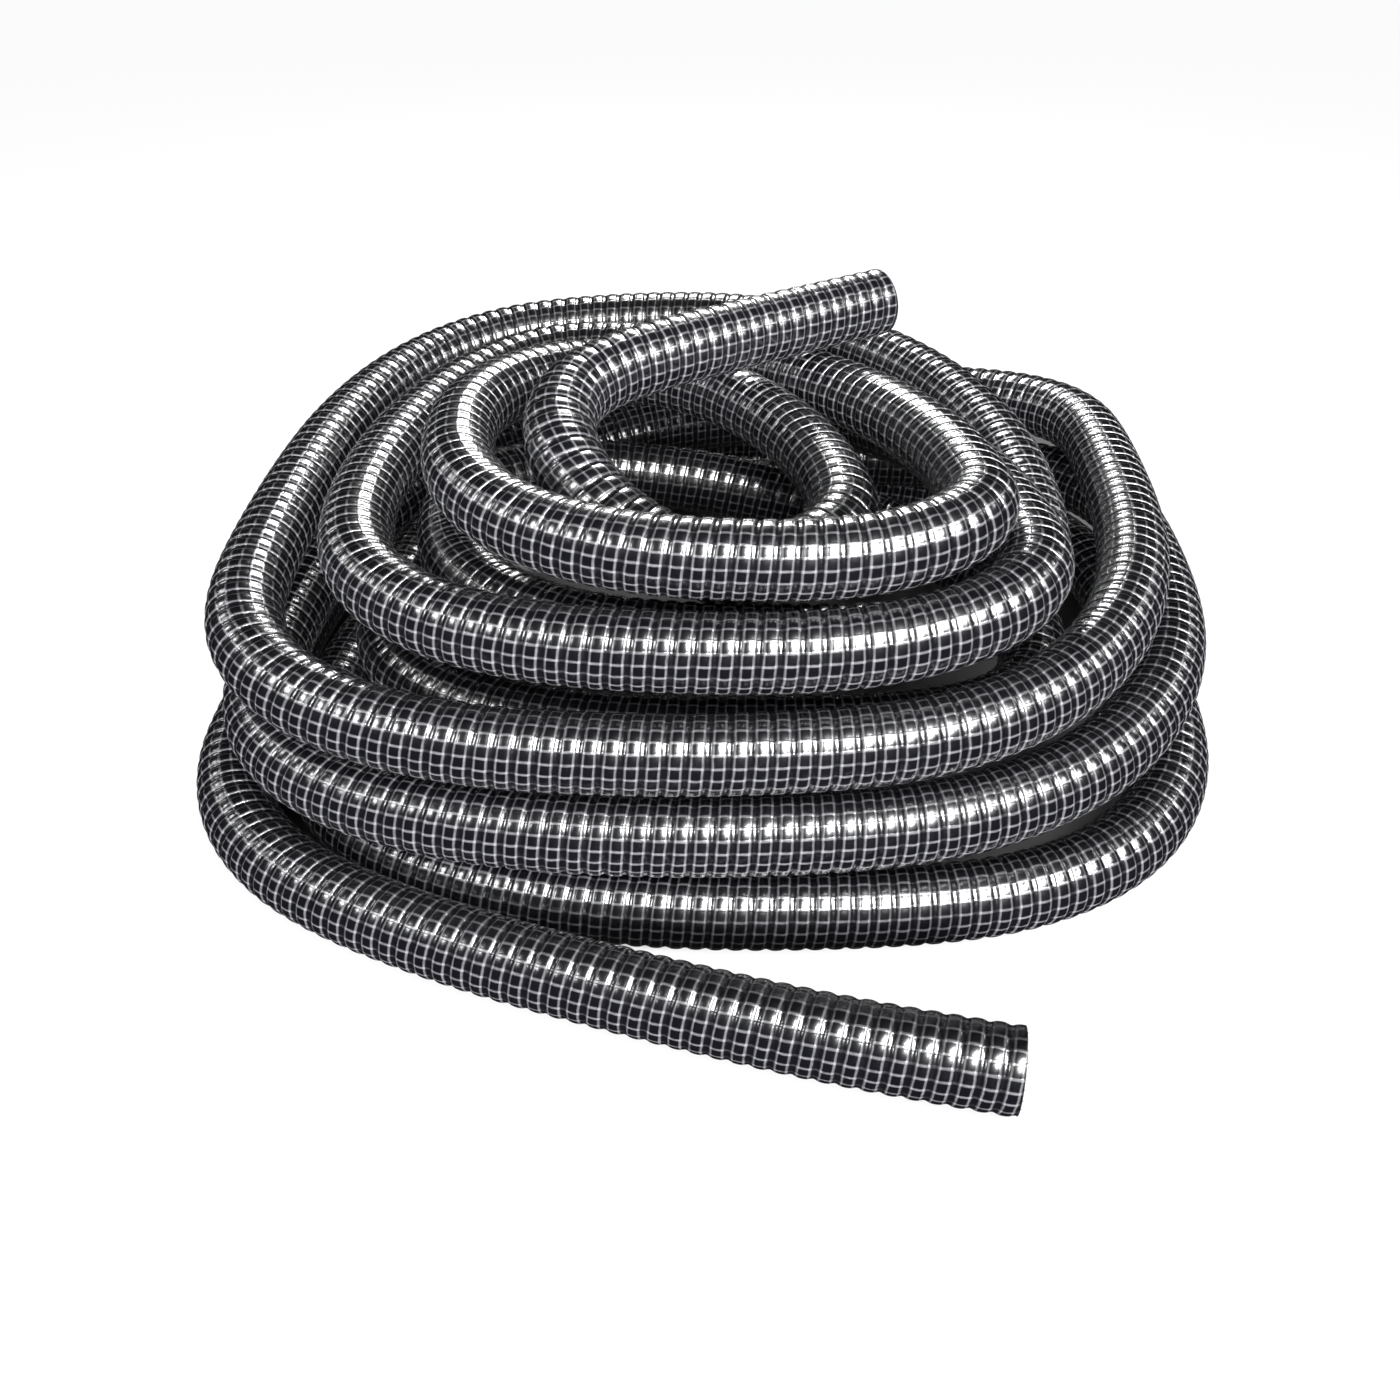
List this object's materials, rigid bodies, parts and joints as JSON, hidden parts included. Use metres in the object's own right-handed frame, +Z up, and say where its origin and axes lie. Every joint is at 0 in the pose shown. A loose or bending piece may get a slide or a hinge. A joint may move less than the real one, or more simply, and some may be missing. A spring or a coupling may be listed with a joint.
{
  "type": "vacuum hose",
  "caption": "Ribbed suction hose with a yarn net in its glossy dark wall, lying in a loose pile with two plain-cut open ends that swing and lift.",
  "frame": {"origin": "on the floor under the middle of the pile, the centre of the box's underside", "axes": "+Z up, -Y towards the side on which the near end lies, +X to the right seen from that side"},
  "size_m": [0.668, 0.6825, 0.2515],
  "materials": {
    "hose_wall": "soft glossy PVC, near-black with a faint blue-violet tint, light yarn net at the surface",
    "spiral": "rigid PVC wire, wound in the wall",
    "yarn": "light grey polyester yarn"
  },
  "bodies": {
    "root": {"hose_coil": "hose_wall"},
    "near_end": {"front_stretch": "hose_wall", "front_end": "hose_wall", "front_spiral": "spiral", "front_yarns": "yarn"},
    "top_end": {"top_stretch": "hose_wall", "top_end": "hose_wall", "top_spiral": "spiral", "top_yarns": "yarn"}
  },
  "joints": [
    {"name": "front_end_swing", "type": "hinge", "parent": "root", "child": "near_end", "pos_m": [-0.17278, -0.24972, 0.022], "axis": [0, 0, 1], "range_deg": [-35, 0]},
    {"name": "top_end_lift", "type": "hinge", "parent": "root", "child": "top_end", "pos_m": [-0.018, 0.092, 0.2515], "axis": [0.5708, -0.8211, 0], "range_deg": [0, 30]}
  ]
}
